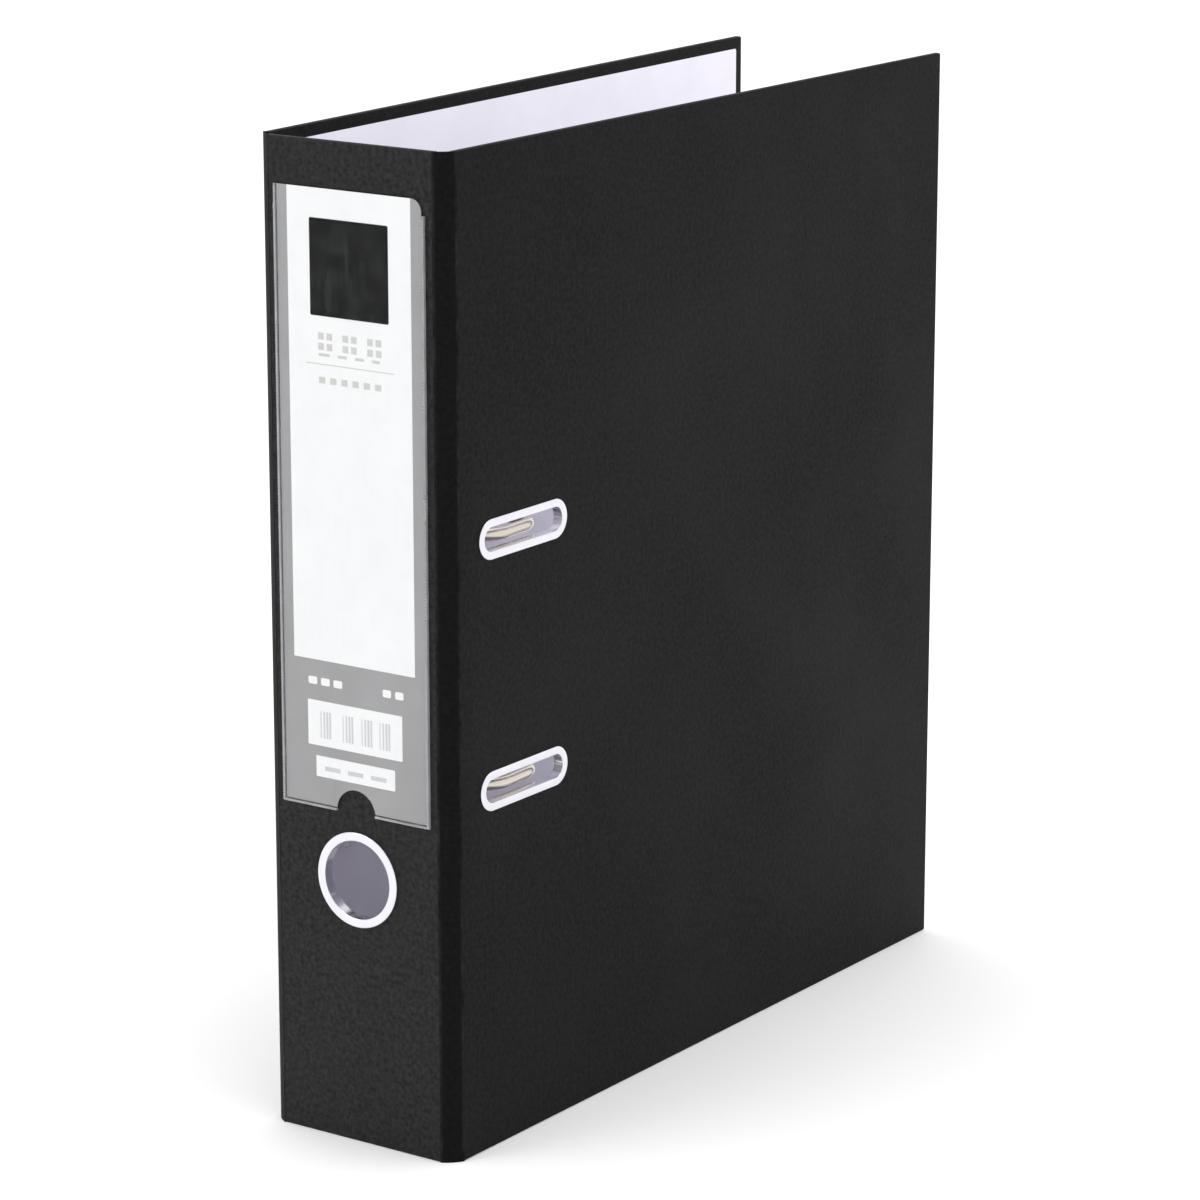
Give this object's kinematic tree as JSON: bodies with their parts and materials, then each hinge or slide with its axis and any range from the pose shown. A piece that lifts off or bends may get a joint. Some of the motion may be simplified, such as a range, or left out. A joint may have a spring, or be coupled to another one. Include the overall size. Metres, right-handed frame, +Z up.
{
  "type": "lever arch file",
  "caption": "Stiff black A4 lever arch file, closed and upright, with hinged covers, slotted eyelets, finger ring, label pocket and a working arch mechanism.",
  "frame": {"origin": "middle of the spine's foot, half way through its thickness, on the surface it stands on", "axes": "+Z up along the spine, +Y from the spine towards the fore edge, +X across the spine towards the front cover; the label faces -Y"},
  "size_m": [0.0848, 0.2862, 0.318],
  "materials": {
    "greyboard": "dense grey board, seen only at cut edges",
    "covering": "black covering with a fine linen emboss, low sheen",
    "hinge_covering": "black covering over the folding joints, slightly glossier and darker",
    "liner": "pale lavender white liner paper, matt",
    "film": "clear soft film, welded seams",
    "card": "grey printed card with white panels",
    "eyelet_metal": "bright nickel plated",
    "mechanism_metal": "nickel plated pressed steel",
    "wire": "bright nickel plated round wire",
    "spring_steel": "blued grey spring steel",
    "compressor_metal": "satin plated steel",
    "grip_plastic": "black moulded grip",
    "bush_plastic": "black moulded bushes",
    "roller_plastic": "white nylon"
  },
  "bodies": {
    "spine": {"spine_board": "greyboard", "spine_cloth": "covering", "spine_liner": "liner", "front_hinge_cloth": "hinge_covering", "back_hinge_cloth": "hinge_covering", "label_pocket": "film", "finger_ring": "eyelet_metal", "finger_ring_washer": "eyelet_metal"},
    "front_cover": {"front_board": "greyboard", "front_cloth": "covering", "front_liner": "liner", "eyelet_upper": "eyelet_metal", "eyelet_lower": "eyelet_metal", "eyelet_washer_upper": "eyelet_metal", "eyelet_washer_lower": "eyelet_metal"},
    "back_cover": {"back_board": "greyboard", "back_cloth": "covering", "back_liner": "liner", "base_plate": "mechanism_metal", "mechanism_rivets": "mechanism_metal", "post_upper": "mechanism_metal", "post_lower": "mechanism_metal", "arch_spring": "spring_steel", "spring_rivet": "mechanism_metal", "lever_pivot_pins": "mechanism_metal"},
    "arch": {"arch_wire": "wire"},
    "lever": {"lever": "mechanism_metal", "lever_grip": "grip_plastic", "roller_pin": "mechanism_metal"},
    "roller": {"roller": "roller_plastic"},
    "compressor": {"compressor_bar": "compressor_metal", "compressor_bush_upper": "bush_plastic", "compressor_bush_lower": "bush_plastic"},
    "label_card": {"label_card": "card"}
  },
  "joints": [
    {"name": "front_cover_hinge", "type": "hinge", "parent": "spine", "child": "front_cover", "pos_m": [0.0341, 0.00103, 0.159], "axis": [0, 0, -1], "range_deg": [0, 170], "deforming": ["front_hinge_cloth"]},
    {"name": "back_cover_hinge", "type": "hinge", "parent": "spine", "child": "back_cover", "pos_m": [-0.0341, 0.00103, 0.159], "axis": [0, 0, 1], "range_deg": [0, 165], "deforming": ["back_hinge_cloth"]},
    {"name": "lever_hinge", "type": "hinge", "parent": "back_cover", "child": "lever", "pos_m": [-0.02352, 0.03918, 0.1615], "axis": [0.0401, -0.9992, 0], "range_deg": [0, 70]},
    {"name": "arch_hinge", "type": "hinge", "parent": "back_cover", "child": "arch", "pos_m": [-0.02967, 0.02392, 0.1555], "axis": [0, 0, -1], "range_deg": [0, 15]},
    {"name": "roller_spin", "type": "hinge", "parent": "lever", "child": "roller", "pos_m": [-0.02517, 0.03911, 0.15853], "axis": [0.0401, -0.9992, 0], "continuous": true},
    {"name": "compressor_slide", "type": "slide", "parent": "back_cover", "child": "compressor", "axis": [0.9992, 0.0401, 0], "range_m": [0, 0.025]},
    {"name": "label_card_slide", "type": "slide", "parent": "spine", "child": "label_card", "axis": [0, 0, 1], "range_m": [0, 0.19]}
  ],
  "couplings": [
    {"joint": "arch_hinge", "follows": "lever_hinge", "ratio": 0.21429}
  ]
}
